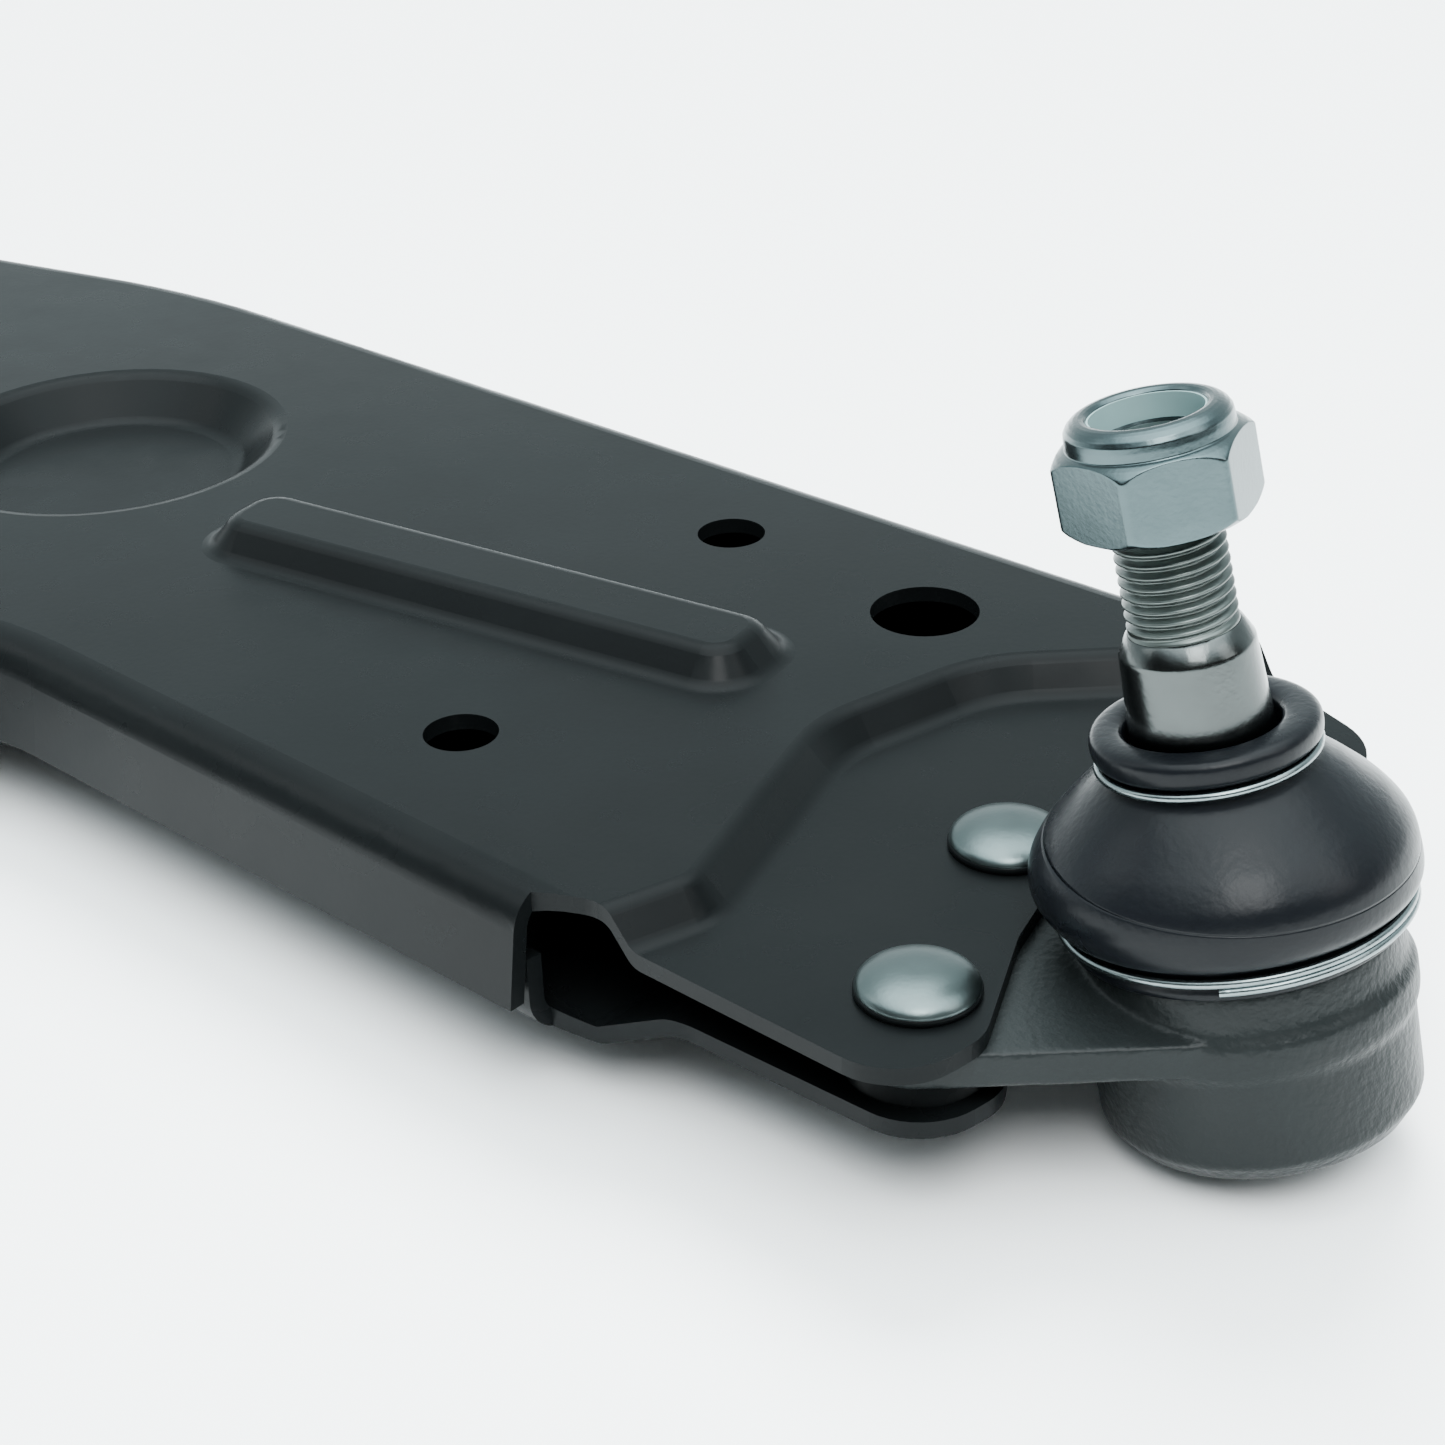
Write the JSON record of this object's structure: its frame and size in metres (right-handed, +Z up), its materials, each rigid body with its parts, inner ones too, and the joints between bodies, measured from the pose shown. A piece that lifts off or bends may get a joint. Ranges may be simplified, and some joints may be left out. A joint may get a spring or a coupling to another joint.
{
  "type": "suspension control arm",
  "caption": "Lower suspension control arm of two nested steel pressings, with a front and a rear rubber bush and a riveted ball joint with dust boot and lock nut.",
  "frame": {"origin": "centre of the front bush bore", "axes": "+X outboard towards the ball joint, +Y along the front bush bore towards the front of the vehicle, +Z up along the rear bush bore"},
  "size_m": [0.4345, 0.3443, 0.0999],
  "materials": {
    "shell_black": "satin black electrocoat",
    "housing_black": "satin black over forged steel",
    "sleeve_steel": "bright machined",
    "bush_rubber": "matte",
    "seat_plastic": "natural acetal",
    "stud_steel": "ground",
    "boot_rubber": "satin",
    "ring_steel": "bright spring wire",
    "rivet_steel": "satin",
    "zinc_plate": "bright zinc",
    "insert_nylon": "translucent pale nylon"
  },
  "bodies": {
    "arm": {"upper_shell": "shell_black", "lower_shell": "shell_black", "front_eye_tube": "shell_black", "front_bush_outer_sleeve": "sleeve_steel", "front_bush_rubber": "bush_rubber", "rear_bush_ring": "shell_black", "rear_bush_outer_sleeve": "sleeve_steel", "rear_bush_rubber": "bush_rubber", "front_eye_weld": "shell_black", "rear_ring_weld": "shell_black", "ball_joint_housing": "housing_black", "ball_joint_end_cap": "housing_black", "ball_seat": "seat_plastic", "boot_ring_lower": "ring_steel", "ball_joint_rivets": "rivet_steel"},
    "boot": {"dust_boot": "boot_rubber"},
    "boot_collar": {"boot_ring_upper": "ring_steel"},
    "stud": {"ball_stud": "stud_steel", "lock_nut": "zinc_plate", "nut_insert": "insert_nylon"},
    "front_sleeve": {"front_bush_inner_sleeve": "sleeve_steel"},
    "rear_sleeve": {"rear_bush_inner_sleeve": "sleeve_steel"}
  },
  "joints": [
    {"name": "ball_tilt_inboard", "type": "hinge", "parent": "arm", "child": "boot", "pos_m": [0.38428, -0.01968, -0.00076], "axis": [-0.0033, 0.9999, 0.0168], "range_deg": [-18, 18], "deforming": ["dust_boot"]},
    {"name": "ball_tilt_forward", "type": "hinge", "parent": "boot", "child": "boot_collar", "pos_m": [0.38428, -0.01968, -0.00076], "axis": [0.9816, 0, 0.1908], "range_deg": [-18, 18], "deforming": ["dust_boot"]},
    {"name": "stud_spin", "type": "hinge", "parent": "boot_collar", "child": "stud", "pos_m": [0.38428, -0.01968, -0.00076], "axis": [-0.2158, -0.0404, 0.9756], "continuous": true},
    {"name": "front_bush_twist", "type": "hinge", "parent": "arm", "child": "front_sleeve", "pos_m": [0, 0, 0], "axis": [0, 1, 0], "range_deg": [-20, 20], "stiffness_Nm_per_rad": 60},
    {"name": "rear_bush_rock", "type": "hinge", "parent": "arm", "child": "rear_sleeve", "pos_m": [0.005, -0.265, -0.0033], "axis": [0, 1, 0], "range_deg": [-10, 10], "stiffness_Nm_per_rad": 80, "deforming": ["rear_bush_rubber"]}
  ]
}
